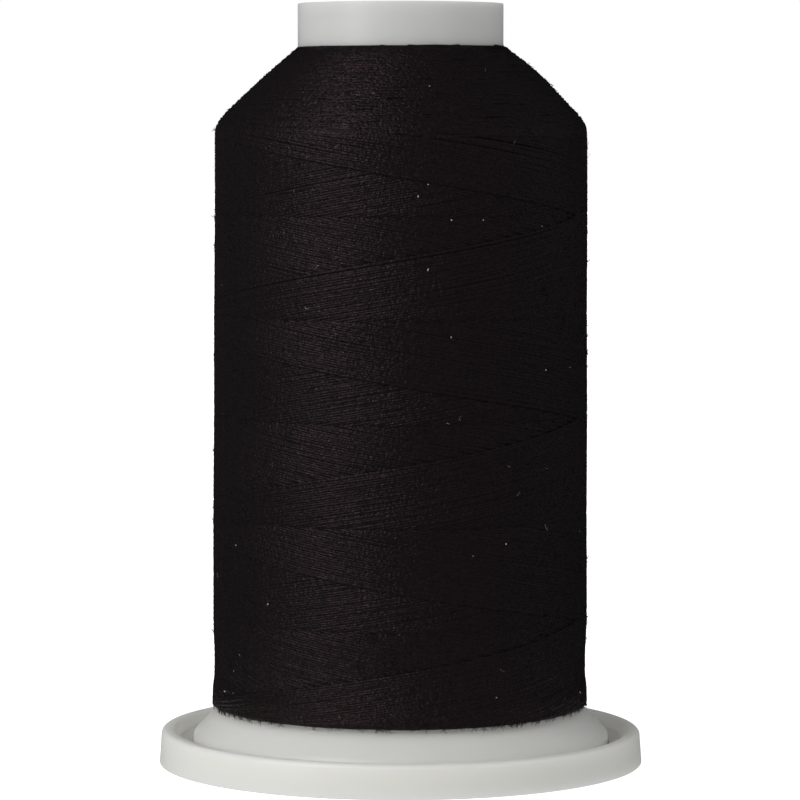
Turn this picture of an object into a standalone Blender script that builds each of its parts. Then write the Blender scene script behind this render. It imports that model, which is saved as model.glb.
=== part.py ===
"""A cone of sewing thread: black thread cross-wound on a white moulded spool.

The spool is two mouldings. The core is a tube whose foot flares out into a bell-shaped skirt. The base is a
dish with a raised rim and a central spigot that seats in the throat of the bell. The thread is wound round
the tube and down onto the skirt, in a nearly straight body under a conical top.

Metres, +Z up. The origin is the middle of the foot, level with the surface that the cone stands on.
Azimuths are seen from above: 0 faces -Y, the front, and they grow towards +X.
"""

import math

import bpy
from mathutils import Vector

# The spool, a mini-king size.
HEIGHT = 0.0760
TUBE_RADIUS = 0.0103
BORE_RADIUS = 0.0090
MOUTH_ROUNDING = 0.00035
WALL = 0.0012  # of the skirt, the web and the spigot

# The skirt is straight in section. It is placed by the point where the thread's lower edge lies on it.
SKIRT_ANGLE = math.radians(56.6)  # from the horizontal
SKIRT_EDGE_RADIUS = 0.01885
SKIRT_EDGE_HEIGHT = 0.0058
SKIRT_LIP_HEIGHT = 0.00155  # of its lower end, just over the groove's floor

# The base dish.
FOOT_RADIUS = 0.0243
FOOT_WIDTH = 0.0034
RIM_RADIUS = 0.02405
RIM_HEIGHT = 0.00325
RIM_WIDTH = 0.0015
RIM_ROUNDING = 0.0003
GROOVE_DRAFT = 0.0007  # how far the rim's inner wall leans in on its way down
GROOVE_FLOOR = 0.00125
WEB_TOP = 0.0020
WEB_UNDERSIDE = 0.0008
SPIGOT_RADIUS = 0.01015
HUB_RADIUS = 0.0110  # of the ring under the web, round the bore
HUB_UNDERSIDE = 0.0004

# The wound thread.
PACKAGE_TOP = 0.0718
PACKAGE_TOP_RADIUS = 0.0108
SHOULDER_RADIUS = 0.0186
SHOULDER_HEIGHT = 0.0642
SHOULDER_ROUNDING = 0.0016
LOWER_EDGE_RADIUS = 0.01885
LEAD = 0.0200  # how far the thread climbs in one turn
CROSSING_HEIGHT = 0.0252  # where the newest rising turn crosses the newest falling one
CROSSING_AZIMUTH = math.radians(-110.0)
LAYER_STEP = 0.00035  # how much deeper the oldest turns of the last layer lie than the newest
FADE = 0.0030  # the height over which that relief dies out, above the lower edge and below the shoulder
EDGE_RUN = 0.12  # the share of a lead in which the newest turns drop to the oldest

GAP = 0.0003  # between pieces that touch
STEPS = 72  # round the axis
ROWS_PER_LEAD = 12
CONE_ROWS = 5
CORNER_STEPS = 3
MERGE_DISTANCE = 0.00001


def plastic():
    """The spool's milky white moulded plastic."""
    return principled("milky_plastic", (0.78, 0.79, 0.79, 1.0), 0.28)


def black_thread():
    """Black sewing thread, a little warm."""
    return principled("black_thread", (0.016, 0.013, 0.0125, 1.0), 0.55)


def principled(name, colour, roughness):
    material = bpy.data.materials.new(name)
    material.use_nodes = True
    material.diffuse_color = colour
    shader = material.node_tree.nodes["Principled BSDF"]
    shader.inputs["Base Color"].default_value = colour
    shader.inputs["Roughness"].default_value = roughness
    shader.inputs["Metallic"].default_value = 0.0
    return material


def rounded(corners):
    """A closed outline's points from its corners, (radius, height, rounding) each; 0 keeps a corner sharp."""
    outline = []
    for index, (radius, height, rounding) in enumerate(corners):
        here = Vector((radius, height))
        if rounding == 0.0:
            outline.append(here)
            continue
        back = (Vector(corners[index - 1][:2]) - here).normalized()
        onward = (Vector(corners[(index + 1) % len(corners)][:2]) - here).normalized()
        half_angle = back.angle(onward) / 2
        setback = rounding / math.tan(half_angle)
        centre = here + (back + onward).normalized() * rounding / math.sin(half_angle)
        first = (here + back * setback - centre).normalized()
        last = (here + onward * setback - centre).normalized()
        for step in range(CORNER_STEPS + 1):
            outline.append(centre + first.slerp(last, step / CORNER_STEPS) * rounding)
    return outline


def turned(name, corners, material, collection):
    """A solid of revolution. Its corners run down its outer side and back up its inner one."""
    outline = rounded(corners)
    edges = [(index, (index + 1) % len(outline)) for index in range(len(outline))]
    mesh = bpy.data.meshes.new(name)
    mesh.from_pydata([(radius, 0.0, height) for radius, height in outline], edges, [])
    mesh.materials.append(material)
    body = bpy.data.objects.new(name, mesh)
    collection.objects.link(body)
    screw = body.modifiers.new("turn", "SCREW")
    screw.axis = "Z"
    screw.angle = math.tau
    screw.steps = STEPS
    screw.render_steps = STEPS
    screw.use_merge_vertices = True
    screw.merge_threshold = MERGE_DISTANCE
    screw.use_smooth_shade = True
    return body


def skirt_height(radius, lift=0.0):
    """The height of the skirt's outer side at a radius, or of a line parallel to it that lies lift off it."""
    down_the_slope = math.tan(SKIRT_ANGLE) * (radius - SKIRT_EDGE_RADIUS)
    return SKIRT_EDGE_HEIGHT + lift / math.cos(SKIRT_ANGLE) - down_the_slope


def skirt_radius(height, lift=0.0):
    """The radius of that line at a height."""
    return SKIRT_EDGE_RADIUS + (skirt_height(SKIRT_EDGE_RADIUS, lift) - height) / math.tan(SKIRT_ANGLE)


def core(material, collection):
    """The tube and the bell-shaped skirt under it, which is open below."""
    lip_outer = skirt_radius(SKIRT_LIP_HEIGHT)
    lip_inner = skirt_radius(SKIRT_LIP_HEIGHT, -WALL)
    corners = [
        (TUBE_RADIUS, HEIGHT, MOUTH_ROUNDING),
        (TUBE_RADIUS, skirt_height(TUBE_RADIUS), WALL),
        (lip_outer, SKIRT_LIP_HEIGHT, MOUTH_ROUNDING),
        (lip_inner, SKIRT_LIP_HEIGHT, 0.0),
        (BORE_RADIUS, skirt_height(BORE_RADIUS, -WALL), 0.0),
        (BORE_RADIUS, HEIGHT, MOUTH_ROUNDING),
    ]
    return turned("spool_core", corners, material, collection)


def base(material, collection):
    """The dish: a raised rim, the groove inside it, the web under the skirt and the spigot up its throat."""
    rim_inner = RIM_RADIUS - RIM_WIDTH
    groove_outer = rim_inner - GROOVE_DRAFT
    groove_inner = skirt_radius(GROOVE_FLOOR, -WALL - GAP)
    web_outer = skirt_radius(WEB_TOP, -WALL - GAP)
    foot_inner = FOOT_RADIUS - FOOT_WIDTH
    corners = [
        (rim_inner, RIM_HEIGHT, RIM_ROUNDING),
        (RIM_RADIUS, RIM_HEIGHT, RIM_ROUNDING),
        (FOOT_RADIUS, 0.0, RIM_ROUNDING / 2),
        (foot_inner, 0.0, 0.0),
        (foot_inner, WEB_UNDERSIDE, 0.0),
        (HUB_RADIUS, WEB_UNDERSIDE, 0.0),
        (HUB_RADIUS, HUB_UNDERSIDE, 0.0),
        (BORE_RADIUS, HUB_UNDERSIDE, MOUTH_ROUNDING),
        (BORE_RADIUS, skirt_height(BORE_RADIUS, -WALL - GAP), 0.0),
        (SPIGOT_RADIUS, skirt_height(SPIGOT_RADIUS, -WALL - GAP), 0.0),
        (SPIGOT_RADIUS, WEB_TOP, WALL),
        (web_outer, WEB_TOP, 0.0),
        (groove_inner, GROOVE_FLOOR, 0.0),
        (groove_outer, GROOVE_FLOOR, RIM_ROUNDING),
    ]
    return turned("spool_base", corners, material, collection)


def side_radius(height):
    """The radius of the package's body at a height: it swells a little towards its lower edge."""
    lower_edge = skirt_height(LOWER_EDGE_RADIUS, GAP)
    share = (height - lower_edge) / (SHOULDER_HEIGHT - lower_edge)
    return LOWER_EDGE_RADIUS + (SHOULDER_RADIUS - LOWER_EDGE_RADIUS) * share


def newness(azimuth, height):
    """From 0 where the oldest turns of the last layer show to 1 where the newest do.

    Each traverse lays its rising and its falling turns a little behind those of the one before, so both sets
    run from old to new once in every lead, and the newer of the two lies on top."""
    turn = (azimuth - CROSSING_AZIMUTH) / math.tau
    climb = (height - CROSSING_HEIGHT) / LEAD
    shares = [(climb - turn) % 1.0, (-climb - turn) % 1.0]
    return max(min(share, (1.0 - share) / EDGE_RUN) for share in shares)


def lay_the_turns(mesh):
    """Lowers the body's points by how old the turns there are, which leaves the crossing bands of the winding."""
    lower_edge = skirt_height(LOWER_EDGE_RADIUS, GAP)
    shallowest = SHOULDER_RADIUS - SHOULDER_ROUNDING
    for vertex in mesh.vertices:
        radius = math.hypot(vertex.co.x, vertex.co.y)
        from_an_end = min(vertex.co.z - lower_edge, SHOULDER_HEIGHT - vertex.co.z)
        if radius < shallowest or from_an_end <= 0.0:
            continue
        azimuth = math.atan2(vertex.co.x, -vertex.co.y)
        depth = LAYER_STEP * (1.0 - newness(azimuth, vertex.co.z)) * min(from_an_end / FADE, 1.0)
        vertex.co.xy *= 1.0 - depth / radius


def wound_thread(material, collection):
    """The package of thread as one solid: bore, conical top, body and the underside that follows the skirt."""
    inner = TUBE_RADIUS + GAP
    lower_edge = skirt_height(LOWER_EDGE_RADIUS, GAP)
    throat = skirt_height(inner, GAP)
    corners = [(PACKAGE_TOP_RADIUS, PACKAGE_TOP, 0.0)]
    for row in range(1, CONE_ROWS):
        share = row / CONE_ROWS
        radius = PACKAGE_TOP_RADIUS + (SHOULDER_RADIUS - PACKAGE_TOP_RADIUS) * share
        corners.append((radius, PACKAGE_TOP + (SHOULDER_HEIGHT - PACKAGE_TOP) * share, 0.0))
    corners.append((SHOULDER_RADIUS, SHOULDER_HEIGHT, SHOULDER_ROUNDING))
    rows = round((SHOULDER_HEIGHT - lower_edge) / LEAD * ROWS_PER_LEAD)
    for row in range(1, rows):
        height = SHOULDER_HEIGHT + (lower_edge - SHOULDER_HEIGHT) * row / rows
        corners.append((side_radius(height), height, 0.0))
    corners.append((LOWER_EDGE_RADIUS, lower_edge, 0.0))
    corners.append((inner, throat, WALL))
    corners.append((inner, PACKAGE_TOP, 0.0))
    plain = turned("plain_package", corners, material, collection)
    evaluated = plain.evaluated_get(bpy.context.evaluated_depsgraph_get())
    mesh = bpy.data.meshes.new_from_object(evaluated)
    mesh.name = "wound_thread"
    lay_the_turns(mesh)
    package = bpy.data.objects.new("wound_thread", mesh)
    collection.objects.link(package)
    bpy.data.objects.remove(plain)
    return package


def main():
    for leftover in list(bpy.data.objects):
        bpy.data.objects.remove(leftover)
    collection = bpy.data.collections.new("cone_of_thread")
    bpy.context.scene.collection.children.link(collection)
    white = plastic()
    core(white, collection)
    base(white, collection)
    wound_thread(black_thread(), collection)


main()
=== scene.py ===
"""The looks of a cone of sewing thread: black thread cross-wound on a milky white moulded spool.

The file is laid out as an add-on and run as a script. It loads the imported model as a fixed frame, replaces
its three solids with finished pieces, and sets the stage. The thread is wound by Geometry Nodes, turn by
turn, as a winding machine lays it.

Metres, +Z up. An azimuth of 0 faces -Y, the front, and azimuths grow towards +X.
"""

import math
import random

import bpy
import numpy as np
from bpy.props import FloatProperty, FloatVectorProperty, IntProperty, PointerProperty
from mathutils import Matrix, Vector


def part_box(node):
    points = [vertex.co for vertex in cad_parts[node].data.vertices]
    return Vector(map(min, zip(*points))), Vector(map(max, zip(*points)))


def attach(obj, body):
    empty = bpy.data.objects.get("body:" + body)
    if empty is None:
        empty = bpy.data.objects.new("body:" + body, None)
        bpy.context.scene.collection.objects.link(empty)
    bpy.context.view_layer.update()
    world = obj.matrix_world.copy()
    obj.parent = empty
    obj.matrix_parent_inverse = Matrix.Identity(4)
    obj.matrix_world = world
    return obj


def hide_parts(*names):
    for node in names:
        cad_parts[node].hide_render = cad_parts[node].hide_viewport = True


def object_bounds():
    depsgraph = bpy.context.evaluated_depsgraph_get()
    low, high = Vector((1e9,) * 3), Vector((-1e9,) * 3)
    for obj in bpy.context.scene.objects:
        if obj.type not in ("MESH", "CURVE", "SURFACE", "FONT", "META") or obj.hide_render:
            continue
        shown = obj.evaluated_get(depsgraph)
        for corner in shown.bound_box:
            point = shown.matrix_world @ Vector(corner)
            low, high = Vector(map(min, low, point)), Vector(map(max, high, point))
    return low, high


bl_info = {
    "name": "Cone of Thread",
    "version": (1, 0, 0),
    "blender": (4, 5, 0),
    "location": "3D View > Sidebar > Thread",
    "description": "Builds a cross-wound cone of sewing thread on its spool, and a stage for it",
    "category": "Object",
}

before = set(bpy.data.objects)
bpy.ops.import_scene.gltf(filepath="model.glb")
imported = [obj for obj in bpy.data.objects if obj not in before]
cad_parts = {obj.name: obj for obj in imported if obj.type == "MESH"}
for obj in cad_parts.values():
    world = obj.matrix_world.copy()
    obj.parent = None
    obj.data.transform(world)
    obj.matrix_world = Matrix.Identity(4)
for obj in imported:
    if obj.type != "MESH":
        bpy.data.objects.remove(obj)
CAD_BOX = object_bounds()
CORE_LOW, CORE_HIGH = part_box("spool_core")
BASE_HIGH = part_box("spool_base")[1]
THREAD_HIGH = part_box("wound_thread")[1]

BODY = "root"
MM = 0.001

# How the photograph was taken.
PHOTO_SIDE = 800
FOCAL_PIXELS = 3996.8
CAMERA_PLACE = (-0.00006, -0.400, 0.06478)
CAMERA_PITCH = math.radians(4.056)


def math_method(operation):
    """A method of Wire that adds the Math node of that operation."""

    def method(wire, *others):
        return wire.sketch.math(operation, wire, *others)

    return method


class Wire:
    """A node's output in a Python expression. Arithmetic on it adds the Math nodes that work it out."""

    def __init__(self, sketch, socket):
        self.sketch = sketch
        self.socket = socket

    def out(self, name):
        """Another output of the same node."""
        return Wire(self.sketch, self.socket.node.outputs[name])

    __add__ = __radd__ = math_method("ADD")
    __sub__ = math_method("SUBTRACT")
    __mul__ = __rmul__ = math_method("MULTIPLY")
    __truediv__ = math_method("DIVIDE")
    __pow__ = math_method("POWER")
    __mod__ = math_method("FLOORED_MODULO")
    above = math_method("GREATER_THAN")
    floor = math_method("FLOOR")
    sin = math_method("SINE")
    cos = math_method("COSINE")
    least = math_method("MINIMUM")
    most = math_method("MAXIMUM")
    soft_least = math_method("SMOOTH_MIN")

    def __neg__(self):
        return self * -1.0

    def __rsub__(self, other):
        return self.sketch.math("SUBTRACT", other, self)

    def ramp(self, low, high):
        """0 below low, 1 above high, and smooth between them."""
        inputs = {"Value": self, "From Min": low, "From Max": high}
        return self.sketch.node("ShaderNodeMapRange", {"interpolation_type": "SMOOTHSTEP"}, inputs)


class Sketch:
    """A node tree while it is drawn."""

    def __init__(self, tree):
        self.tree = tree

    def node(self, kind, settings=None, inputs=None, output=None):
        """Adds a node: its settings first, then the values or wires of its sockets.

        An input is named, or counted where several share a name. The output is the first one in use, or is
        named."""
        made = self.tree.nodes.new(kind)
        for name, value in (settings or {}).items():
            setattr(made, name, value)
        for key, value in (inputs or {}).items():
            if isinstance(key, int):
                socket = made.inputs[key]
            else:
                socket = next(socket for socket in made.inputs if socket.enabled and socket.name == key)
            self.plug(socket, value)
        outputs = [socket for socket in made.outputs if socket.enabled and output in (None, socket.name)]
        return Wire(self, outputs[0]) if outputs else made

    def plug(self, socket, value):
        if isinstance(value, Wire):
            self.tree.links.new(value.socket, socket)
        else:
            socket.default_value = value

    def math(self, operation, *values):
        return self.node("ShaderNodeMath", {"operation": operation}, dict(enumerate(values)))

    def point(self, x, y, z):
        return self.node("ShaderNodeCombineXYZ", None, {"X": x, "Y": y, "Z": z})

    def random(self, low, high, identity, seed):
        """A number between low and high for each identity."""
        inputs = {"Min": low, "Max": high, "ID": identity, "Seed": seed}
        return self.node("FunctionNodeRandomValue", {"data_type": "FLOAT"}, inputs)

    def mixed(self, share, first, second):
        """A colour between two, by a share."""
        return self.node("ShaderNodeMix", {"data_type": "RGBA"}, {"Factor": share, "A": first, "B": second})

    def wander(self, along, amount):
        """A smooth random number within amount of 0, along a line."""
        inputs = {"W": along, "Scale": 1.0, "Detail": 1.0}
        noise = self.node("ShaderNodeTexNoise", {"noise_dimensions": "1D"}, inputs)
        return (noise - 0.5) * (2.0 * amount)


SOCKET_KINDS = {int: "NodeSocketInt", float: "NodeSocketFloat", bpy.types.Material: "NodeSocketMaterial"}


class ShapeTree(Sketch):
    """A Geometry Nodes tree with named inputs, which ends in Realize Instances and Set Material."""

    def __init__(self, name, inputs):
        super().__init__(bpy.data.node_groups.new(name, "GeometryNodeTree"))
        face = self.tree.interface
        face.new_socket("Geometry", in_out="INPUT", socket_type="NodeSocketGeometry")
        face.new_socket("Geometry", in_out="OUTPUT", socket_type="NodeSocketGeometry")
        self.values = inputs
        for label, value in inputs.items():
            kind = next(kind for base, kind in SOCKET_KINDS.items() if isinstance(value, base))
            face.new_socket(label, in_out="INPUT", socket_type=kind)
        self.entry = self.node("NodeGroupInput")

    def given(self, label):
        return self.entry.out(label)

    def line(self, count):
        """A straight line of so many points."""
        line = self.node("GeometryNodeCurvePrimitiveLine")
        return self.node("GeometryNodeResampleCurve", {"mode": "COUNT"}, {"Curve": line, "Count": count})

    def strands(self, count, segments):
        """Straight lines of so many segments each, with each point's line and its place along that line."""
        line = self.line(segments + 1)
        points = self.node("GeometryNodePoints", None, {"Count": count})
        many = self.node("GeometryNodeInstanceOnPoints", None, {"Points": points, "Instance": line})
        many = self.node("GeometryNodeRealizeInstances", None, {"Geometry": many})
        index = self.node("GeometryNodeInputIndex")
        strand = (index / (segments + 1.0)).floor()
        return many, strand, (index - strand * (segments + 1.0)) / segments

    def follow(self, path, places, radius, sides, pressed=1.0):
        """A tube through places along a path, pressed flat against the axis by a share."""
        path = self.node("GeometryNodeSetPosition", None, {"Geometry": path, "Position": places})
        path = self.node("GeometryNodeSetCurveNormal", {"mode": "Z_UP"}, {"Curve": path})
        ring = self.node("GeometryNodeCurvePrimitiveCircle", None, {"Resolution": sides, "Radius": radius})
        inputs = {"Geometry": ring, "Scale": self.point(pressed, 1.0, 1.0)}
        ring = self.node("GeometryNodeTransform", None, inputs)
        inputs = {"Curve": path, "Profile Curve": ring, "Fill Caps": True}
        return self.node("GeometryNodeCurveToMesh", None, inputs)

    def finish(self, geometry):
        whole = self.node("GeometryNodeRealizeInstances", None, {"Geometry": geometry})
        smooth = self.node("GeometryNodeSetShadeSmooth", None, {"Geometry": whole})
        inputs = {"Geometry": smooth, "Material": self.given("Material")}
        dressed = self.node("GeometryNodeSetMaterial", None, inputs)
        self.node("NodeGroupOutput", None, {"Geometry": dressed})

    def grow(self, name, base=None, **changed):
        """Runs the tree on a new object and returns the result as a piece with a plain mesh."""
        carrier = bpy.data.objects.new(name, base or bpy.data.meshes.new(name))
        bpy.context.scene.collection.objects.link(carrier)
        modifier = carrier.modifiers.new(self.tree.name, "NODES")
        modifier.node_group = self.tree
        values = self.values | {label.replace("_", " "): value for label, value in changed.items()}
        for item in self.tree.interface.items_tree:
            if item.in_out == "INPUT" and item.name in values:
                modifier[item.identifier] = values[item.name]
        evaluated = carrier.evaluated_get(bpy.context.evaluated_depsgraph_get())
        mesh = bpy.data.meshes.new_from_object(evaluated)
        carrier.modifiers.remove(modifier)
        carrier.data = mesh
        mesh.name = name
        return carrier


class SpoolSettings(bpy.types.PropertyGroup):
    tube_radius: FloatProperty(
        name="Tube Radius", description="Outer radius of the tube", default=0.01025, subtype="DISTANCE"
    )
    wall: FloatProperty(
        name="Wall", description="Thickness of the tube and the bell", default=0.0013, subtype="DISTANCE"
    )
    bell_height: FloatProperty(
        name="Bell Height",
        description="Height at which the tube flares out",
        default=0.0188,
        subtype="DISTANCE",
    )
    bell_radius: FloatProperty(
        name="Bell Radius", description="Outer radius of the bell's lip", default=0.0209, subtype="DISTANCE"
    )
    rim_radius: FloatProperty(
        name="Rim Radius", description="Outer radius of the rim's top", default=0.02405, subtype="DISTANCE"
    )
    rim_height: FloatProperty(
        name="Rim Height", description="Height of the rim over the foot", default=0.00335, subtype="DISTANCE"
    )
    rim_width: FloatProperty(
        name="Rim Width", description="Width of the rim's flat top", default=0.0015, subtype="DISTANCE"
    )
    colour: FloatVectorProperty(
        name="Plastic",
        description="Colour of the moulded plastic",
        default=(0.80, 0.795, 0.755),
        subtype="COLOR",
    )
    # Painted shade: the plastic darkens towards this colour at the tube's mouth. It stands for the dark bore
    # seen through the tube's thin wall.
    tube_shade_colour: FloatVectorProperty(
        name="Tube Shade",
        description="Its colour at the tube's mouth",
        default=(0.605, 0.605, 0.60),
        subtype="COLOR",
    )


class WindingSettings(bpy.types.PropertyGroup):
    thread_radius: FloatProperty(
        name="Thread Radius", description="Half the width of the thread", default=0.00019, subtype="DISTANCE"
    )
    pressed: FloatProperty(
        name="Pressed", description="How thick the thread lies for its width", default=0.30, min=0.2, max=1.0
    )
    lead: FloatProperty(
        name="Lead", description="How far the thread climbs in one turn", default=0.0200, subtype="DISTANCE"
    )
    traverses: IntProperty(
        name="Traverses",
        description="Double traverses in the last layer, a multiple of 3",
        default=84,
        min=6,
    )
    strokes: IntProperty(
        name="Turns", description="Turns in a double traverse, less the small step back", default=6, min=2
    )
    lowest: FloatProperty(
        name="Lowest",
        description="Height at which the falling turns turn back",
        default=0.0052,
        subtype="DISTANCE",
    )
    crossing_azimuth: FloatProperty(
        name="Crossing Azimuth",
        description="Where the newest turns cross at the lower end",
        default=math.radians(-110.0),
        subtype="ANGLE",
    )
    layer_step: FloatProperty(
        name="Layer Step",
        description="How much deeper the oldest turns lie than the newest",
        default=0.00008,
        subtype="DISTANCE",
    )
    unevenness: FloatProperty(
        name="Unevenness",
        description="How far a turn strays from its place",
        default=0.00008,
        subtype="DISTANCE",
    )
    shoulder_radius: FloatProperty(
        name="Shoulder Radius", description="Radius at the shoulder", default=0.01862, subtype="DISTANCE"
    )
    shoulder_height: FloatProperty(
        name="Shoulder Height", description="Height of the shoulder", default=0.06406, subtype="DISTANCE"
    )
    colour: FloatVectorProperty(
        name="Thread",
        description="Colour of the dyed thread",
        default=(0.0076, 0.0067, 0.0069),
        subtype="COLOR",
    )
    seed: IntProperty(name="Seed", description="Picks another fall of the turns", default=7, min=0)


class FuzzSettings(bpy.types.PropertyGroup):
    hairs: IntProperty(name="Hairs", description="Loose fibres on the thread", default=1800, min=0)
    hair_length: FloatProperty(
        name="Hair Length", description="Length of the longest fibres", default=0.0009, subtype="DISTANCE"
    )
    tufts: IntProperty(name="Tufts", description="Small tufts of raised fibre all over", default=400, min=0)
    fringe: IntProperty(
        name="Fringe", description="Loose fibres at each end of the package", default=2200, min=0
    )
    fringe_length: FloatProperty(
        name="Fringe Length", description="Length of the longest", default=0.0006, subtype="DISTANCE"
    )
    lint_size: FloatProperty(
        name="Lint Size", description="Width of the largest fleck", default=0.0002, subtype="DISTANCE"
    )
    flecks: IntProperty(name="Flecks", description="Flecks of lint on the back", default=24, min=0)
    pale_hairs: IntProperty(
        name="Pale Hairs", description="Pale fibres that cling to the thread", default=60, min=0
    )


class StageSettings(bpy.types.PropertyGroup):
    from_below: FloatProperty(
        name="From Below", description="Strength of the even light off the floor", default=0.77, min=0.0
    )
    from_above: FloatProperty(
        name="From Above", description="Strength of the even light from above", default=0.38, min=0.0
    )
    key_power: FloatProperty(
        name="Key", description="Power of the two lights at the upper left", default=0.59, unit="POWER"
    )
    low_power: FloatProperty(
        name="Low Key", description="Power of the low light at the left", default=0.31, unit="POWER"
    )
    fill_power: FloatProperty(
        name="Fill", description="Power of the two weak lights on the right", default=0.16, unit="POWER"
    )
    floor_colour: FloatVectorProperty(
        name="Floor", description="Colour of the floor", default=(0.93, 0.93, 0.93), subtype="COLOR"
    )


SETTINGS = {
    "thread_spool": SpoolSettings,
    "thread_winding": WindingSettings,
    "thread_fuzz": FuzzSettings,
    "thread_stage": StageSettings,
}

# The package in section. A softness is the distance over which two of its lines run into each other.
SIDE_RADIUS_LOW = THREAD_HIGH.x + 0.00003
THREAD_BOTTOM = 0.0059
LOWER_EDGE_SLOPE = 2.2  # radius gained for each metre of height, where the package turns in over the skirt
LOWER_EDGE_DEPTH = 0.0003  # how far the side lies out from the start of that slope
LOWER_EDGE_SOFTNESS = 0.0003
FADE = 0.003  # the height over which the relief of the turns dies out, above the lower edge
# Just above its thick lower edge the body draws in a little, and then swells again.
WAIST_DEPTH = 0.00016
WAIST_BOTTOM = 0.0072
NARROW_FROM = 0.0092
NARROW_TO = 0.0105
WAIST_TOP = 0.0150
SHOULDER_SOFTNESS = 0.0016
# The conical top is steep from the shoulder up to its brow and flatter from there to the tube.
BROW_RADIUS = 0.01326
BROW_HEIGHT = 0.0694
BROW_SOFTNESS = 0.0008
CROWN_RADIUS = 0.0100
CROWN_HEIGHT = 0.07188
CONE_LEAN = 0.00018  # how far the conical top leans towards +X
CONE_LEAN_START = 0.001  # height over the shoulder at which it starts to
CROWN_LEAN = 0.00010  # how far its uppermost slope leans back again
# The package sits a little askew on the tube. It is centred at one height and leans towards +X above that.
SKEW = 0.0026
SKEW_HEIGHT = 0.0423


def soft_least(a, b, distance):
    """The smaller of two lengths, numbers or wires, with the corner between them rounded."""
    if isinstance(a, Wire):
        return a.soft_least(b, distance)
    blend = max(distance - abs(a - b), 0.0) / distance
    return min(a, b) - blend**3 * distance / 6.0


def ramp(value, low, high):
    """0 where a number or a wire is below low, 1 above high, and smooth between them."""
    if isinstance(value, Wire):
        return value.ramp(low, high)
    share = min(max((value - low) / (high - low), 0.0), 1.0)
    return share * share * (3.0 - 2.0 * share)


def package_radius(height, winding):
    """The wound surface's radius at a height, which is a number or a wire.

    It has the body, the two slopes of the top and the turned-in lower edge."""
    side_slope = (winding.shoulder_radius - SIDE_RADIUS_LOW) / (winding.shoulder_height - THREAD_BOTTOM)
    cone_slope = (BROW_RADIUS - winding.shoulder_radius) / (BROW_HEIGHT - winding.shoulder_height)
    crown_slope = (CROWN_RADIUS - BROW_RADIUS) / (CROWN_HEIGHT - BROW_HEIGHT)
    drawn_in = ramp(height, WAIST_BOTTOM, NARROW_FROM) * (1.0 - ramp(height, NARROW_TO, WAIST_TOP))
    waist = drawn_in * WAIST_DEPTH
    side = (height - winding.shoulder_height) * side_slope + winding.shoulder_radius - waist
    cone = (height - winding.shoulder_height) * cone_slope + winding.shoulder_radius
    crown = (height - BROW_HEIGHT) * crown_slope + BROW_RADIUS
    edge = (height - THREAD_BOTTOM) * LOWER_EDGE_SLOPE + SIDE_RADIUS_LOW - LOWER_EDGE_DEPTH
    lines = (cone, SHOULDER_SOFTNESS), (crown, BROW_SOFTNESS), (edge, LOWER_EDGE_SOFTNESS)
    radius = side
    for line, softness in lines:
        radius = soft_least(radius, line, softness)
    return radius


def new_material(name, values):
    """A material, a sketch of its nodes, and its shader with those values."""
    material = bpy.data.materials.new(name)
    material.use_nodes = True
    shader = material.node_tree.nodes["Principled BSDF"]
    for label, value in values.items():
        shader.inputs[label].default_value = value
    return material, Sketch(material.node_tree), shader


PLASTIC_ROUGHNESS = 0.33
DULL_PATCHES = 0.06  # how much rougher the plastic's dullest patches are


def plastic_material(settings):
    """Milky white moulded plastic: satin, a little uneven, with painted shade that darkens it up the tube.
    """
    values = {
        "IOR": 1.49,
        "Subsurface Weight": 1.0,
        "Subsurface Radius": (1.0, 1.0, 1.0),
        "Subsurface Scale": 0.003,
    }
    material, sketch, shader = new_material("milky_plastic", values)
    colour = (*settings.colour, 1.0)
    painted_tube_shade = (*settings.tube_shade_colour, 1.0)
    place = sketch.node("ShaderNodeTexCoord", None, None, "Object")
    cloud = sketch.node("ShaderNodeTexNoise", None, {"Vector": place, "Scale": 90.0, "Detail": 3.0})
    grain = sketch.node("ShaderNodeTexNoise", None, {"Vector": place, "Scale": 2600.0, "Detail": 2.0})
    height = sketch.node("ShaderNodeSeparateXYZ", None, {"Vector": place}, "Z")
    # Painted shade: the colour darkens from the bell up to the tube's mouth.
    shade_up_the_tube = height.ramp(settings.bell_height, CORE_HIGH.z)
    sketch.plug(shader.inputs["Base Color"], sketch.mixed(shade_up_the_tube, colour, painted_tube_shade))
    sketch.plug(shader.inputs["Roughness"], PLASTIC_ROUGHNESS + cloud * DULL_PATCHES)
    bump = sketch.node("ShaderNodeBump", None, {"Strength": 0.1, "Distance": 0.00001, "Height": grain})
    sketch.plug(shader.inputs["Normal"], bump)
    return material


# A turn here is one turn of the thread round the package.
TWISTS_PER_TURN = 125.0
TWIST_SLACK = 1.6  # how far the twist runs ahead or behind, in twists
PLIES = 3.0
LUMPS_PER_TURN = 420.0
LUMPS_AROUND = 0.6  # the more, the more lumps lie side by side on the thread
# What each thing adds to the thread's relief, beside the lumps.
FIBRE_RELIEF = 2.2
PLY_RELIEF = 0.15
FIBRE_CONTRAST = 0.15  # how much paler or deeper than the dye a fibre is
THREAD_ROUGHNESS = 0.28
WORN_PATCHES = 0.15  # how much rougher the thread's dullest patches are


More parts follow.
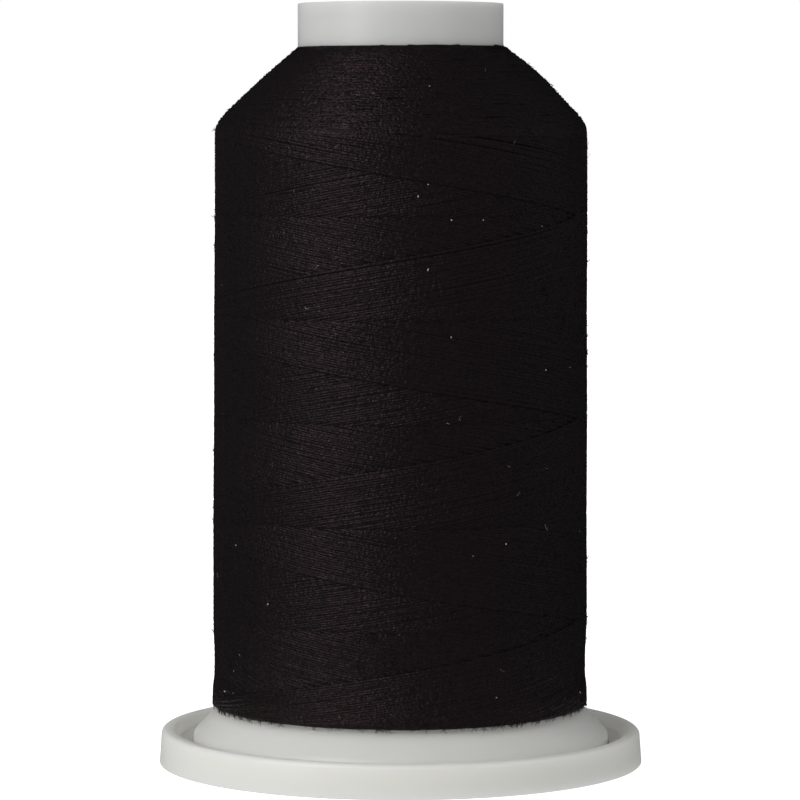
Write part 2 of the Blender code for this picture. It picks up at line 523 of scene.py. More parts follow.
def thread_material(name, settings, strength=1.0, twisted=True):
    """Dyed spun thread: black with a warm tint, and where it is twisted, its plies turn round each other.

    Its colour is the dye's, times the strength; a strength below 1 paints shade into it."""
    values = {
        "Specular IOR Level": 0.24,
        "Specular Tint": (1.0, 0.61, 0.70, 1.0),
        "Sheen Weight": 0.008,
        "Sheen Roughness": 0.4,
        "Sheen Tint": (1.0, 0.92, 0.92, 1.0),
    }
    material, sketch, shader = new_material(name, values)
    pale = (*(channel * (1.0 + FIBRE_CONTRAST) * strength for channel in settings.colour), 1.0)
    deep = (*(channel * (1.0 - FIBRE_CONTRAST) * strength for channel in settings.colour), 1.0)
    place = sketch.node("ShaderNodeTexCoord", None, None, "Object")
    fibre = sketch.node("ShaderNodeTexNoise", None, {"Vector": place, "Scale": 3200.0, "Detail": 1.0})
    worn = sketch.node("ShaderNodeTexNoise", None, {"Vector": place, "Scale": 2200.0, "Detail": 1.0})
    sketch.plug(shader.inputs["Base Color"], sketch.mixed(fibre.ramp(0.3, 0.7), deep, pale))
    height = fibre
    if twisted:
        unrolled = sketch.node("ShaderNodeUVMap", {"uv_map": "turns"})
        axes = sketch.node("ShaderNodeSeparateXYZ", None, {"Vector": unrolled})
        slack = sketch.node("ShaderNodeTexNoise", None, {"Vector": place, "Scale": 900.0, "Detail": 2.0})
        twist = axes.out("X") * TWISTS_PER_TURN + axes.out("Y") + slack * TWIST_SLACK
        ply = (twist * (PLIES * math.pi)).sin()
        around = axes.out("Y") * math.tau
        along = axes.out("X") * LUMPS_PER_TURN
        spot = sketch.point(along, around.cos() * LUMPS_AROUND, around.sin() * LUMPS_AROUND)
        lump = sketch.node("ShaderNodeTexNoise", None, {"Vector": spot, "Scale": 1.0, "Detail": 1.0})
        height = fibre * FIBRE_RELIEF + ply * ply * PLY_RELIEF + lump
    bump = sketch.node("ShaderNodeBump", None, {"Strength": 1.0, "Distance": 0.00006, "Height": height})
    sketch.plug(shader.inputs["Normal"], bump)
    sketch.plug(shader.inputs["Roughness"], THREAD_ROUGHNESS + worn.ramp(0.38, 0.62) * WORN_PATCHES)
    return material


def lint_material():
    """Pale dust and broken fibres that have settled on the thread."""
    material, sketch, shader = new_material("pale_lint", {"Roughness": 0.9})
    place = sketch.node("ShaderNodeTexCoord", None, None, "Object")
    cloud = sketch.node("ShaderNodeTexNoise", None, {"Vector": place, "Scale": 4000.0, "Detail": 2.0})
    colours = (0.22, 0.21, 0.20, 1.0), (0.50, 0.49, 0.47, 1.0)
    sketch.plug(shader.inputs["Base Color"], sketch.mixed(cloud.ramp(0.35, 0.65), *colours))
    return material


def rounded(corners, steps=6):
    """A closed outline's points from its corners, (radius, height, rounding) each. 0 keeps one sharp."""
    outline = []
    for index, (radius, height, rounding) in enumerate(corners):
        here = Vector((radius, height))
        if rounding == 0.0:
            outline.append(here)
            continue
        back = (Vector(corners[index - 1][:2]) - here).normalized()
        onward = (Vector(corners[(index + 1) % len(corners)][:2]) - here).normalized()
        half_angle = back.angle(onward) / 2
        centre = here + (back + onward).normalized() * rounding / math.sin(half_angle)
        setback = rounding / math.tan(half_angle)
        first = (here + back * setback - centre).normalized()
        last = (here + onward * setback - centre).normalized()
        for step in range(steps + 1):
            outline.append(centre + first.slerp(last, step / steps) * rounding)
    return outline


def parallel(line, distance):
    """The corners of a line inside another, whose (radius, height) places run down the outside."""
    places = [Vector(place) for place in line]
    ways = [(later - place).normalized() for place, later in zip(places, places[1:], strict=False)]
    sides = [Vector((way.y, -way.x)) for way in ways]
    moved = [places[0] + sides[0] * distance]
    for place, before, after in zip(places[1:-1], sides[:-1], sides[1:], strict=True):
        moved.append(place + (before + after) * (distance / (1.0 + before.dot(after))))
    return [*moved, places[-1] + sides[-1] * distance]


RIM_TILT = 0.004  # the rim stands a little higher towards -X
TURNED_STEPS = 192
MERGE_DISTANCE = 0.000002
CREASE = math.radians(32.0)


def turned(name, outline, material):
    """A solid of revolution. Its closed outline runs down the outer side and back up the inner one."""
    edges = [(index, (index + 1) % len(outline)) for index in range(len(outline))]
    profile = bpy.data.meshes.new(name)
    profile.from_pydata([(radius, 0.0, height) for radius, height in outline], edges, [])
    profile.materials.append(material)
    piece = bpy.data.objects.new(name, profile)
    bpy.context.scene.collection.objects.link(piece)
    screw = piece.modifiers.new("turn", "SCREW")
    screw.angle = math.tau
    screw.steps = TURNED_STEPS
    screw.render_steps = TURNED_STEPS
    screw.use_merge_vertices = True
    screw.merge_threshold = MERGE_DISTANCE
    evaluated = piece.evaluated_get(bpy.context.evaluated_depsgraph_get())
    mesh = bpy.data.meshes.new_from_object(evaluated)
    piece.modifiers.remove(screw)
    piece.data = mesh
    mesh.name = name
    mesh.shade_smooth()
    mesh.set_sharp_from_angle(angle=CREASE)
    return piece


def hand_over(piece, slot, *nodes):
    """The piece rides on the part's one body and stands for those nodes. The slot is not used."""
    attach(piece, BODY)
    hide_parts(*nodes)


class THREAD_OT_spool(bpy.types.Operator):
    """Turn the two mouldings of the spool"""

    bl_idname = "thread.spool"
    bl_label = "Spool"

    def execute(self, context):
        spool = context.scene.thread_spool
        plastic = plastic_material(spool)
        self.turn_core(spool, plastic)
        self.turn_base(spool, plastic)
        return {"FINISHED"}

    def bell(self, spool):
        """The core's outer side, from its mouth down the tube and the bell to the lip in the groove."""
        knee = (18.5 * MM, 5.4 * MM)
        lip_height = 3.0 * MM
        return [
            (spool.tube_radius, CORE_HIGH.z),
            (spool.tube_radius, spool.bell_height),
            knee,
            (spool.bell_radius, lip_height),
            (spool.bell_radius, CORE_LOW.z),
        ]

    def turn_core(self, spool, plastic):
        """The tube and the bell at its foot, hollow and of one wall."""
        outer = self.bell(spool)
        inner = parallel(outer, spool.wall)[::-1]
        roundings = [0.10 * MM, 1.2 * MM, 2.0 * MM, 1.6 * MM, 0.35 * MM]
        roundings += [0.1 * MM, 0.5 * MM, 1.0 * MM, 0.3 * MM, 0.15 * MM]
        corners = [(*place, rounding) for place, rounding in zip(outer + inner, roundings, strict=True)]
        piece = turned("spool_core_moulding", rounded(corners), plastic)
        hand_over(piece, "spool_plastic", "spool_core")

    def turn_base(self, spool, plastic):
        """The dish: rim, ledge, slot for the bell's lip, foot ring, recess, and the spigot in its throat."""
        foot = BASE_HIGH.x
        foot_inner = foot - 3.4 * MM
        rim_inner = spool.rim_radius - spool.rim_width
        ledge = 2.2 * MM
        ledge_inner = spool.bell_radius + 0.1 * MM
        slot_floor = 1.25 * MM
        seat_gap = 0.2 * MM
        web_outer = spool.bell_radius - spool.wall - seat_gap
        web_top = 2.0 * MM
        web_underside = 0.8 * MM
        hub_radius = 11.0 * MM
        hub_underside = 0.4 * MM
        spigot_radius = 10.15 * MM
        bore_radius = spool.tube_radius - spool.wall
        upper, lower = parallel(self.bell(spool), spool.wall + seat_gap)[1:3]
        slope = (upper.y - lower.y) / (lower.x - upper.x)

        def throat(radius):
            """The height at which the spigot meets the bell's inner side."""
            return upper.y - (radius - upper.x) * slope

        corners = [
            (rim_inner, spool.rim_height, 0.6 * MM),
            (spool.rim_radius, spool.rim_height, 0.5 * MM),
            (foot, 0.0, 0.12 * MM),
            (foot_inner, 0.0, 0.15 * MM),
            (foot_inner, web_underside, 0.2 * MM),
            (hub_radius, web_underside, 0.1 * MM),
            (hub_radius, hub_underside, 0.1 * MM),
            (bore_radius, hub_underside, 0.3 * MM),
            (bore_radius, throat(bore_radius), 0.1 * MM),
            (spigot_radius, throat(spigot_radius), 0.1 * MM),
            (spigot_radius, web_top, 0.8 * MM),
            (web_outer, web_top, 0.2 * MM),
            (web_outer, slot_floor, 0.2 * MM),
            (ledge_inner, slot_floor, 0.2 * MM),
            (ledge_inner, ledge, 0.1 * MM),
            (rim_inner - 0.3 * MM, ledge, 0.3 * MM),
        ]
        piece = turned("spool_base_moulding", rounded(corners), plastic)
        for vertex in piece.data.vertices:
            up_the_rim = ramp(vertex.co.z, web_underside, spool.rim_height)
            vertex.co.z -= vertex.co.x * RIM_TILT * up_the_rim
        hand_over(piece, "spool_plastic", "spool_base")


TUBE_SIDES = 6
SEGMENTS_PER_TURN = 60  # a multiple of the pieces, so that each piece has whole segments
PIECES_OF_WINDING = 3
BAKE_MAP = "OFBake"
BAKE_MARGIN = 0.05  # of a row's width, left free on each side of it


def unroll(mesh, rings, per_row, turns_in_row=1.0):
    """Gives a mesh of tubes its maps. Each tube has so many rings, and a row of the map so many segments.

    In "turns", X counts turns of the package along the tube, and Y goes round the tube. The other map holds
    the rows side by side in one square, for a bake."""
    corner_vertices = np.empty(len(mesh.loops), np.int32)
    mesh.loops.foreach_get("vertex_index", corner_vertices)
    sides = np.empty(len(mesh.polygons), np.int32)
    mesh.polygons.foreach_get("loop_total", sides)
    face_of_corner = np.repeat(np.arange(len(sides)), sides)
    first_corner = np.concatenate(([0], np.cumsum(sides)[:-1]))
    ring = corner_vertices // TUBE_SIDES
    tube = ring // rings
    along = (ring % rings).astype(float)
    around = (corner_vertices % TUBE_SIDES).astype(float)
    widest = np.maximum.reduceat(around, first_corner)[face_of_corner]
    narrowest = np.minimum.reduceat(around, first_corner)[face_of_corner]
    closes_the_ring = widest - narrowest > 1
    over_the_seam = closes_the_ring & (around == 0) & (sides[face_of_corner] == 4)
    around[over_the_seam] = TUBE_SIDES
    around /= TUBE_SIDES
    turns = np.stack([along / per_row * turns_in_row, around], 1)
    face_start = np.minimum.reduceat(along, first_corner)[face_of_corner]
    row = np.floor(face_start / per_row)
    rows_per_tube = math.ceil((rings - 1) / per_row)
    rows = rows_per_tube * (tube.max() + 1)
    across = BAKE_MARGIN + (1.0 - 2.0 * BAKE_MARGIN) * around
    square = np.stack([along / per_row - row, (tube * rows_per_tube + row + across) / rows], 1)
    for name, places in (("turns", turns), (BAKE_MAP, square)):
        layer = mesh.uv_layers.new(name=name)
        layer.data.foreach_set("uv", places.astype(np.float32).ravel())
    mesh.uv_layers["turns"].active_render = True


def lean(height, winding):
    """How far the package leans towards +X at a height, which is a number or a wire."""
    up_the_cone = ramp(height, winding.shoulder_height + CONE_LEAN_START, BROW_HEIGHT)
    up_the_crown = ramp(height, BROW_HEIGHT, CROWN_HEIGHT)
    return up_the_cone * CONE_LEAN - up_the_crown * CROWN_LEAN + (height - SKEW_HEIGHT) * SKEW


def wound_place(tree, azimuth, height, radius, winding):
    """The place of a point of the package."""
    return tree.point(radius * azimuth.sin() + lean(height, winding), -(radius * azimuth.cos()), height)


# How the last layer is wound. Runs and spans are in turns, or in shares of the whole layer.
CROSSING_SPAN = 0.02  # half the share of the layer in which a turn goes from over the others to under
CROSSING_DEPTH = 1.7  # how much deeper the older turn lies where two cross, in the thread's thickness
MISS = 0.0006  # how far past its mark or short of it a traverse turns back at the shoulder
LANE_SHARE = 0.3  # the share of the unevenness that a whole traverse keeps to one side
END_RUN = 0.2
END_DEPTH = 0.0005  # how deep the thread's two ends are tucked in
# Each way of straying reads its own stretch of one line of noise, from its start on.
SEED_STRIDE = 31.7
MISS_START = 300.0
QUICK_START = 500.0
BULGE_START = 900.0
LUMP_START = 1300.0


def eased(distance, bend):
    """A distance from where the thread turns back, in turns, rounded off over a bend of so many turns."""
    bent = distance.least(bend)
    return bend / 2.0 + bent * bent / (bend * 2.0) + (distance - bent)


def winding_tree(winding, material):
    """One thread wound up and down the package, each double traverse a little behind the one before."""
    turns = winding.strokes - 1.0 / winding.traverses
    tree = ShapeTree(
        "Cross winding",
        {
            "First Traverse": 0,
            "Traverses": winding.traverses,
            "Segments": SEGMENTS_PER_TURN,
            "Lead": winding.lead,
            "Lowest": winding.lowest,
            "Lower Turn": 0.088,
            "Upper Turn": 0.150,
            "Layer Step": winding.layer_step,
            "Unevenness": winding.unevenness,
            "Thread Radius": winding.thread_radius,
            "Pressed": winding.pressed,
            "Seed": winding.seed,
            "Material": material,
        },
    )
    given = tree.given
    thickness = given("Thread Radius") * given("Pressed")
    # One point more than segments. The half keeps a rounding error from losing one.
    line = tree.line(given("Traverses") * given("Segments") * turns + 1.5)
    index = tree.node("GeometryNodeInputIndex")
    turn = given("First Traverse") * turns + index / given("Segments")
    share = turn / (winding.traverses * turns)

    into = turn % turns
    up = into.least(turns - into)
    down = turns / 2.0 - up
    climb = eased(up, given("Lower Turn")) + (turns / 2.0 - eased(down, given("Upper Turn"))) - up

    # Where a newer turn of the other way crosses this one, this one lies beneath it.
    falling = into.above(turns / 2.0)
    other = ((falling * 2.0 - 1.0) * climb - turn) % 1.0
    beneath = (other - share).ramp(-CROSSING_SPAN, CROSSING_SPAN)

    seed = given("Seed") * SEED_STRIDE

    def stray(waves, part, start=0.0):
        """A part of the unevenness, in so many waves a turn."""
        return tree.wander(turn * waves + seed + start, given("Unevenness") * part)

    lane = tree.random(-1.0, 1.0, (turn / turns + 0.5).floor(), given("Seed")) * given("Unevenness")
    slow = stray(0.8, 1.0) + lane * down.least(1.0) * LANE_SHARE
    quick = stray(7.0, 0.35, QUICK_START)
    near_the_top = 1.0 - down.ramp(0.0, given("Upper Turn") * 2.0)
    traverse = (turn / turns).floor()
    missed = tree.wander(traverse * 0.23 + seed + MISS_START, MISS) * near_the_top
    height = given("Lowest") + climb * given("Lead") + slow + quick + missed

    relief = height.ramp(THREAD_BOTTOM, THREAD_BOTTOM + FADE)
    depth = given("Layer Step") * (1.0 - share) * relief + beneath * thickness * CROSSING_DEPTH
    bulge = stray(2.3, 0.25, BULGE_START) + stray(13.0, 0.35, LUMP_START)
    to_the_end = winding.traverses * turns - turn
    tucked_in = (1.0 - (turn / END_RUN).least(1.0)) + (1.0 - (to_the_end / END_RUN).least(1.0))
    radius = package_radius(height, winding) - thickness - depth + bulge - tucked_in * END_DEPTH
    azimuth = (turn % 1.0) * math.tau + winding.crossing_azimuth
    places = wound_place(tree, azimuth, height, radius, winding)
    tree.finish(tree.follow(line, places, given("Thread Radius"), TUBE_SIDES, given("Pressed")))
    return tree


CONE_ARC_SEGMENTS = 14
GOLDEN_SHARE = 0.6180339  # of a turn from each bend to the next, which spreads them evenly
BENDS_START = 0.0010  # how far under the shoulder the bends begin
BENDS_END = 0.0001  # how far under the crown they end
BURIED = 0.00012  # how deep the deepest bend lies
ENDS_SUNK = 0.00030  # how far the two ends of a bend go under the others
BEND_TURNS = 0.17  # a bend's length, in turns round the body
PACKED_ROWS = 60
PACKED_DEPTH = 1.2  # how far the inside lies under each layer of turns, in the thread's thickness


def cone_tree(winding, material):
    """The turns that show on the conical top: the bends where each older, smaller layer turned back."""
    tree = ShapeTree(
        "Cone bends",
        {
            "Bends": 900,
            "Half Span": 0.10,
            "Droop": 0.00050,
            "Unevenness": winding.unevenness,
            "Thread Radius": winding.thread_radius,
            "Pressed": winding.pressed,
            "Seed": winding.seed,
            "Material": material,
        },
    )
    given = tree.given
    many, bend, along = tree.strands(given("Bends"), CONE_ARC_SEGMENTS)
    across = along * 2.0 - 1.0
    seed = given("Seed")
    share = (bend + 0.5) / given("Bends")
    crest_low = winding.shoulder_height - BENDS_START
    crest = crest_low + share * (CROWN_HEIGHT - BENDS_END - crest_low)
    crest = crest + tree.random(-1.0, 1.0, bend, seed) * given("Unevenness") * 2.0
    stray = tree.wander(along * 2.0 + bend * 3.7, given("Unevenness"))
    height = crest - given("Droop") * across * across + stray
    buried = tree.random(0.0, BURIED, bend, seed + 2)
    sunk = (across * across) ** 3.0 * ENDS_SUNK
    radius = package_radius(height, winding) - given("Thread Radius") * given("Pressed") - buried - sunk
    azimuth = (bend * GOLDEN_SHARE + across * given("Half Span")) * math.tau
    places = wound_place(tree, azimuth, height, radius, winding)
    tree.finish(tree.follow(many, places, given("Thread Radius"), TUBE_SIDES, given("Pressed")))
    return tree


class THREAD_OT_winding(bpy.types.Operator):
    """Wind the thread on the spool"""

    bl_idname = "thread.winding"
    bl_label = "Winding"

    def execute(self, context):
        winding = context.scene.thread_winding
        thread = thread_material("black_thread", winding)
        # Painted shade: the packed layers take half the dye's colour, for the shade in the gaps between the
        # turns over them.
        packed = thread_material("packed_thread_painted_shade", winding, strength=0.5, twisted=False)
        self.pack_the_inside(context.scene.thread_spool, winding, packed)
        tree = winding_tree(winding, thread)
        turns = winding.strokes - 1.0 / winding.traverses
        share = winding.traverses // PIECES_OF_WINDING
        for piece_index in range(PIECES_OF_WINDING):
            first = piece_index * share
            piece = tree.grow(f"wound_turns_{piece_index + 1}", First_Traverse=first, Traverses=share)
            rings = round(share * turns * SEGMENTS_PER_TURN) + 1
            unroll(piece.data, rings, SEGMENTS_PER_TURN)
            hand_over(piece, "thread", "wound_thread")
        bends = cone_tree(winding, thread).grow("cone_bends")
        unroll(bends.data, CONE_ARC_SEGMENTS + 1, CONE_ARC_SEGMENTS, BEND_TURNS)
        hand_over(bends, "thread", "wound_thread")
        return {"FINISHED"}

    def pack_the_inside(self, spool, winding, material):
        """The older layers under the turns that show, as one turned body just below them."""
        inner = spool.tube_radius + 0.1 * MM
        top = CROWN_HEIGHT - winding.thread_radius
        bottom = THREAD_BOTTOM + 0.3 * MM
        heights = [top + (bottom - top) * row / PACKED_ROWS for row in range(PACKED_ROWS + 1)]
        outline = [(self.packed_radius(winding, height, inner), height) for height in heights]
        outline += [(inner, spool.bell_height + 0.5 * MM), (inner, top)]
        body = turned("packed_layers", outline, material)
        for vertex in body.data.vertices:
            vertex.co.x += lean(vertex.co.z, winding)
        hand_over(body, "thread", "wound_thread")

    def packed_radius(self, winding, height, inner):
        """Just below the turns, which lie two deep on the body and one deep on the cone."""
        up_the_cone = min(max((height - winding.shoulder_height) / (2.0 * MM), 0.0), 1.0)
        thickness = winding.thread_radius * winding.pressed
        under = thickness * (PACKED_DEPTH + PACKED_DEPTH * (1.0 - up_the_cone)) + winding.layer_step
        return max(package_radius(height, winding) - under, inner + 0.1 * MM)


HAIR_SEGMENTS = 4
HAIR_SIDES = 3
HAIRS_IN_A_TUFT = 14
TUFT_SPREAD = 0.015  # how far from a tuft's middle its fibres start, as an angle round the package
ROOT_DEPTH = 0.00005
EDGE_CLEARANCE = 0.0002  # the height over the thread's bottom under which a fibre hangs straight down


def fuzz_tree(winding, fuzz, material):
    """Loose fibres: short curved hairs that start on the wound surface and lie mostly along it."""
    tree = ShapeTree(
        "Fuzz",
        {
            "Hairs": fuzz.hairs,
            "Length": fuzz.hair_length,
            "Thickness": 0.000010,
            "Hairs in a Tuft": 1,
            "Lowest Root": THREAD_BOTTOM + EDGE_CLEARANCE,
            "Highest Root": CROWN_HEIGHT - 0.0003,
            "Heading": 0.0,
            "Heading Spread": math.pi,
            "Lift": 0.8,
            "Seed": winding.seed,
            "Material": material,
        },
    )
    given = tree.given
    many, hair, along = tree.strands(given("Hairs"), HAIR_SEGMENTS)
    seed = given("Seed") + 40
    tuft = (hair / given("Hairs in a Tuft")).floor()
    in_a_tuft = (given("Hairs in a Tuft") - 1.0).least(1.0)
    within = in_a_tuft * tree.random(-1.0, 1.0, hair, seed + 6)
    root_azimuth = tree.random(0.0, math.tau, tuft, seed) + within * TUFT_SPREAD
    root_height = tree.random(given("Lowest Root"), given("Highest Root"), tuft, seed + 1)
    length = given("Length") * tree.random(0.4, 1.0, hair, seed + 2) ** 2.0
    heading = given("Heading") + given("Heading Spread") * tree.random(-1.0, 1.0, hair, seed + 3)
    way = heading + tree.random(-2.0, 2.0, hair, seed + 4) * along
    lift = tree.random(0.0, 1.0, hair, seed + 5) ** 3.0 * given("Lift")
    reach = length * along
    level = 1.0 - lift * 0.7
    height = root_height + reach * way.sin() * level
    out = reach * lift * (1.3 - along * 0.5) - ROOT_DEPTH
    below_the_edge = (THREAD_BOTTOM + EDGE_CLEARANCE - height).most(0.0)
    radius = package_radius(height + below_the_edge, winding) + out
    azimuth = root_azimuth + reach * way.cos() * level / winding.shoulder_radius
    places = wound_place(tree, azimuth, height, radius, winding)
    tree.finish(tree.follow(many, places, given("Thickness"), HAIR_SIDES))
    return tree


# Where lint lies on the front: azimuth in degrees and height in millimetres.
FLECKS = (
    (10, 67.7),
    (-10, 67.0),
    (8, 58.3),
    (5, 57.2),
    (15, 54.9),
    (25, 54.9),
    (47, 54.2),
    (8, 50.2),
    (15, 43.7),
    (49, 40.2),
    (33, 23.6),
    (22, 22.6),
    (-59, 22.8),
    (-43, 17.5),
    (-61, 10.3),
    (-67, 8.0),
    (30, 8.7),
    (72, 7.7),
)


def lint_tree(fuzz, material):
    """A small crumpled fleck on each point of a mesh."""
    tree = ShapeTree(
        "Lint",
        {
            "Size": fuzz.lint_size,
            "Crumpled": 0.45,
            "Seed": 3,
            "Material": material,
        },
    )
    given = tree.given
    seed = given("Seed")
    index = tree.node("GeometryNodeInputIndex")
    ball = tree.node("GeometryNodeMeshIcoSphere", None, {"Radius": 0.5, "Subdivisions": 2}, "Mesh")
    size = given("Size") * tree.random(0.45, 1.0, index, seed)
    turned_by = tree.point(*(tree.random(0.0, math.tau, index, seed + 1 + axis) for axis in range(3)))
    long_and_thin = tree.point(size * 1.3, size * 0.8, size * 0.55)
    inputs = {
        "Points": given("Geometry"),
        "Instance": ball,
        "Rotation": turned_by,
        "Scale": long_and_thin,
    }
    flecks = tree.node("GeometryNodeInstanceOnPoints", None, inputs)
    flecks = tree.node("GeometryNodeRealizeInstances", None, {"Geometry": flecks})
    place = tree.node("GeometryNodeInputPosition")
    normal = tree.node("GeometryNodeInputNormal")
    noise = tree.node("ShaderNodeTexNoise", None, {"Vector": place, "Scale": 9000.0, "Detail": 2.0})
    amount = (noise - 0.5) * 2.0 * given("Size") * given("Crumpled")
    offset = tree.node("ShaderNodeVectorMath", {"operation": "SCALE"}, {"Vector": normal, "Scale": amount})
    tree.finish(tree.node("GeometryNodeSetPosition", None, {"Geometry": flecks, "Offset": offset}))
    return tree


class THREAD_OT_fuzz(bpy.types.Operator):
    """Raise the loose fibres and scatter the lint"""

    bl_idname = "thread.fuzz"
    bl_label = "Fuzz"

    def execute(self, context):
        winding = context.scene.thread_winding
        fuzz = context.scene.thread_fuzz
        lint = lint_material()
        tree = fuzz_tree(winding, fuzz, thread_material("loose_fibre", winding, strength=2.0, twisted=False))
        ends = {
            "Hairs": fuzz.fringe,
            "Length": fuzz.fringe_length,
            "Thickness": 0.000014,
            "Hairs_in_a_Tuft": HAIRS_IN_A_TUFT,
            "Heading_Spread": 1.0,
        }
        pale = {"Hairs": fuzz.pale_hairs, "Thickness": 0.000012, "Material": lint, "Seed": 11}
        tufts = {
            "Hairs": fuzz.tufts * HAIRS_IN_A_TUFT,
            "Length": 0.0007,
            "Thickness": 0.000022,
            "Hairs_in_a_Tuft": HAIRS_IN_A_TUFT,
            "Lift": 0.9,
            "Seed": 5,
        }
        lower = {
            "Lowest_Root": THREAD_BOTTOM,
            "Highest_Root": THREAD_BOTTOM + 0.0003,
            "Heading": -math.pi / 2,
            "Lift": 0.3,
        }
        upper = {
            "Lowest_Root": CROWN_HEIGHT - 0.0006,
            "Highest_Root": CROWN_HEIGHT - 0.0001,
            "Heading": math.pi / 2,
            "Lift": 0.5,
        }
        for piece in (
            tree.grow("loose_fibres"),
            tree.grow("pale_hairs", **pale),
            tree.grow("tufts", **tufts),
            tree.grow("lower_fringe", **ends, **lower),
            tree.grow("upper_fringe", **ends, **upper),
            self.scatter_lint(winding, fuzz, lint),
        ):
            hand_over(piece, "thread", "wound_thread")
        return {"FINISHED"}

    def scatter_lint(self, winding, fuzz, lint):
        """The flecks on the front, and some more on the back."""
        chance = random.Random(winding.seed)
        spots = list(FLECKS)
        spots += [(chance.uniform(90.0, 270.0), chance.uniform(7.0, 68.0)) for _ in range(fuzz.flecks)]
        places = []
        for azimuth, height in spots:
            radius = package_radius(height * MM, winding)
            turn = math.radians(azimuth)
            x = radius * math.sin(turn) + lean(height * MM, winding)
            places.append((x, -radius * math.cos(turn), height * MM))
        points = bpy.data.meshes.new("lint_places")
        points.from_pydata(places, [], [])
        return lint_tree(fuzz, lint).grow("lint", points)


LIGHT_DISTANCE = 0.45
STAGE_RADIUS = 3.0
SHADE_DEPTH = 0.00002
# How much the even light gains towards the front and towards the left.
FROM_THE_FRONT = 0.03
FROM_THE_LEFT = 0.09
KEY_SHARE = 0.86  # of the key power, with the rest in a light further round to the left
FILL_SHARE = 0.6  # of the fill power, with the rest in a light behind the right side


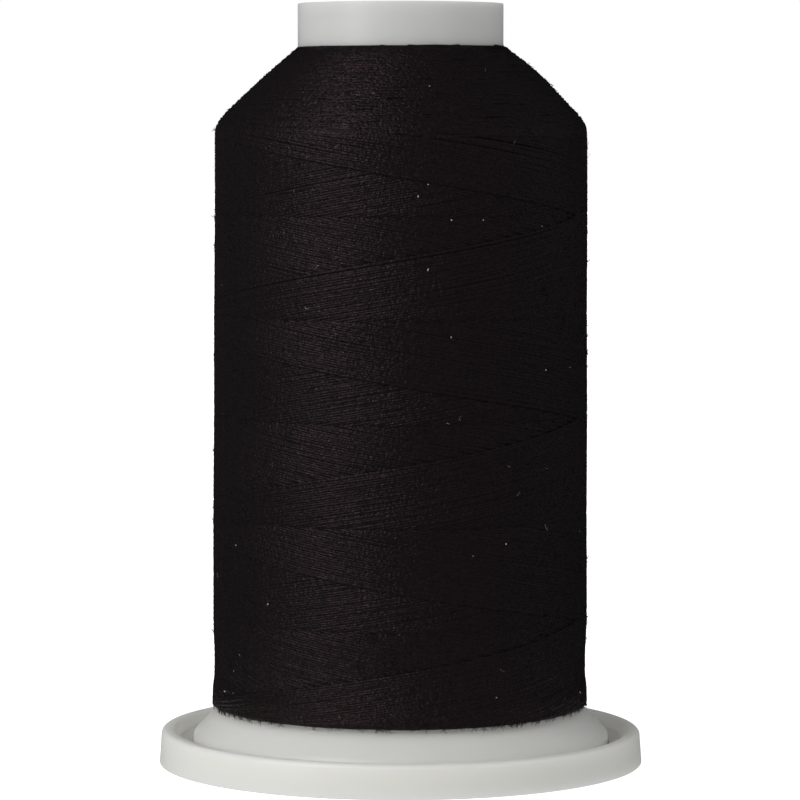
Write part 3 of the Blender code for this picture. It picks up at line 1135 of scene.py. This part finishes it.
class THREAD_OT_stage(bpy.types.Operator):
    """Set the pale floor, the lights and the camera"""

    bl_idname = "thread.stage"
    bl_label = "Stage"

    def execute(self, context):
        settings = context.scene.thread_stage
        context.scene.view_settings.view_transform = "Standard"
        self.lay_floor(settings)
        self.shade_the_foot()
        self.raise_dome()
        self.light(context, settings)
        self.aim_camera(context)
        return {"FINISHED"}

    def lay_floor(self, settings):
        """A floor that reads as white paper. What it throws back at the object is in the surroundings."""
        values = {
            "Base Color": (*settings.floor_colour, 1.0),
            "Roughness": 0.9,
            "Specular IOR Level": 0.1,
            "Emission Color": (1.0, 1.0, 1.0, 1.0),
            "Emission Strength": 0.9,
        }
        material, _, _ = new_material("pale_floor", values)
        bpy.ops.mesh.primitive_plane_add(size=2.0 * STAGE_RADIUS, location=(0.0, 0.0, CAD_BOX[0].z))
        floor = bpy.context.active_object
        floor.name = "floor"
        floor.data.materials.append(material)
        self.show_to_camera_alone(floor)

    def shade_the_foot(self):
        """Keeps light from the underside: a dark disc, just under the floor, that no camera sees."""
        values = {"Base Color": (0.2, 0.2, 0.2, 1.0), "Roughness": 0.9}
        material, _, _ = new_material("shade", values)
        under_the_floor = (0.0, 0.0, CAD_BOX[0].z - SHADE_DEPTH)
        bpy.ops.mesh.primitive_circle_add(
            vertices=96, radius=BASE_HIGH.x - MM, fill_type="NGON", location=under_the_floor
        )
        disc = bpy.context.active_object
        disc.name = "shade"
        disc.data.materials.append(material)
        disc.visible_camera = False

    def show_to_camera_alone(self, piece):
        piece.visible_diffuse = False
        piece.visible_glossy = False
        piece.visible_transmission = False
        piece.visible_volume_scatter = False
        piece.visible_shadow = False

    def raise_dome(self):
        """A white surround that only the camera sees."""
        material = bpy.data.materials.new("white_surround")
        material.use_nodes = True
        material.node_tree.nodes.clear()
        sketch = Sketch(material.node_tree)
        glow = sketch.node("ShaderNodeEmission", None, {"Color": (1.0, 1.0, 1.0, 1.0), "Strength": 1.0})
        sketch.node("ShaderNodeOutputMaterial", None, {"Surface": glow})
        bpy.ops.mesh.primitive_uv_sphere_add(segments=64, ring_count=32, radius=STAGE_RADIUS)
        dome = bpy.context.active_object
        dome.name = "surround"
        dome.data.materials.append(material)
        self.show_to_camera_alone(dome)

    def light(self, context, settings):
        """Even light that fades upwards, soft boxes high and low at the left, and weak ones at the right."""
        world = bpy.data.worlds.new("surroundings")
        world.use_nodes = True
        sketch = Sketch(world.node_tree)
        direction = sketch.node("ShaderNodeTexCoord", None, None, "Generated")
        axes = sketch.node("ShaderNodeSeparateXYZ", None, {"Vector": direction})
        rise = settings.from_above - settings.from_below
        glow = (axes.out("Z") + 1.0) * (0.5 * rise) + settings.from_below
        glow = glow - axes.out("Y") * FROM_THE_FRONT - axes.out("X") * FROM_THE_LEFT
        background = world.node_tree.nodes["Background"]
        sketch.plug(background.inputs["Color"], glow)
        context.scene.world = world
        world.cycles_visibility.glossy = False
        self.area_light("key", settings.key_power * KEY_SHARE, (-38.5, 41.0), 0.19)
        self.area_light("side_key", settings.key_power * (1.0 - KEY_SHARE), (-55.0, 30.0), 0.16)
        self.area_light("low_key", settings.low_power, (-52.0, 14.0), 0.20)
        self.area_light("fill", settings.fill_power * FILL_SHARE, (50.0, 30.0), 0.30)
        self.area_light("rear_fill", settings.fill_power * (1.0 - FILL_SHARE), (100.0, 20.0), 0.30)

    def area_light(self, name, power, direction, size):
        """A soft box that faces the object from an azimuth and an elevation, in degrees."""
        azimuth, elevation = map(math.radians, direction)
        level = math.cos(elevation)
        target = Vector((0.0, 0.0, CAD_BOX[1].z * 0.5))
        away = Vector((math.sin(azimuth) * level, -math.cos(azimuth) * level, math.sin(elevation)))
        data = bpy.data.lights.new(name, "AREA")
        data.size = size
        data.energy = power
        lamp = bpy.data.objects.new(name, data)
        lamp.location = target + away * LIGHT_DISTANCE
        lamp.rotation_euler = away.to_track_quat("Z", "Y").to_euler()
        lamp.visible_camera = False
        bpy.context.scene.collection.objects.link(lamp)

    def aim_camera(self, context):
        data = bpy.data.cameras.new("photograph")
        data.lens = FOCAL_PIXELS / PHOTO_SIDE * data.sensor_width
        data.clip_start = 0.01
        data.clip_end = 20.0
        camera = bpy.data.objects.new("photograph", data)
        camera.location = CAMERA_PLACE
        camera.rotation_euler = (math.radians(90.0) - CAMERA_PITCH, 0.0, 0.0)
        context.scene.collection.objects.link(camera)
        context.scene.camera = camera


class THREAD_PT_panel(bpy.types.Panel):
    bl_idname = "THREAD_PT_panel"
    bl_label = "Cone of Thread"
    bl_space_type = "VIEW_3D"
    bl_region_type = "UI"
    bl_category = "Thread"

    def draw(self, context):
        for name, operator in zip(SETTINGS, OPERATORS, strict=True):
            box = self.layout.box()
            box.operator(operator.bl_idname)
            group = getattr(context.scene, name)
            for label in SETTINGS[name].__annotations__:
                box.prop(group, label)


OPERATORS = (THREAD_OT_spool, THREAD_OT_winding, THREAD_OT_fuzz, THREAD_OT_stage)


def register():
    for name, group in SETTINGS.items():
        bpy.utils.register_class(group)
        setattr(bpy.types.Scene, name, PointerProperty(type=group))
    for operator in OPERATORS:
        bpy.utils.register_class(operator)
    bpy.utils.register_class(THREAD_PT_panel)


def unregister():
    bpy.utils.unregister_class(THREAD_PT_panel)
    for operator in reversed(OPERATORS):
        bpy.utils.unregister_class(operator)
    for name, group in reversed(SETTINGS.items()):
        delattr(bpy.types.Scene, name)
        bpy.utils.unregister_class(group)


def main():
    register()
    bpy.ops.thread.spool()
    bpy.ops.thread.winding()
    bpy.ops.thread.fuzz()
    bpy.ops.thread.stage()


if __name__ == "__main__":
    main()
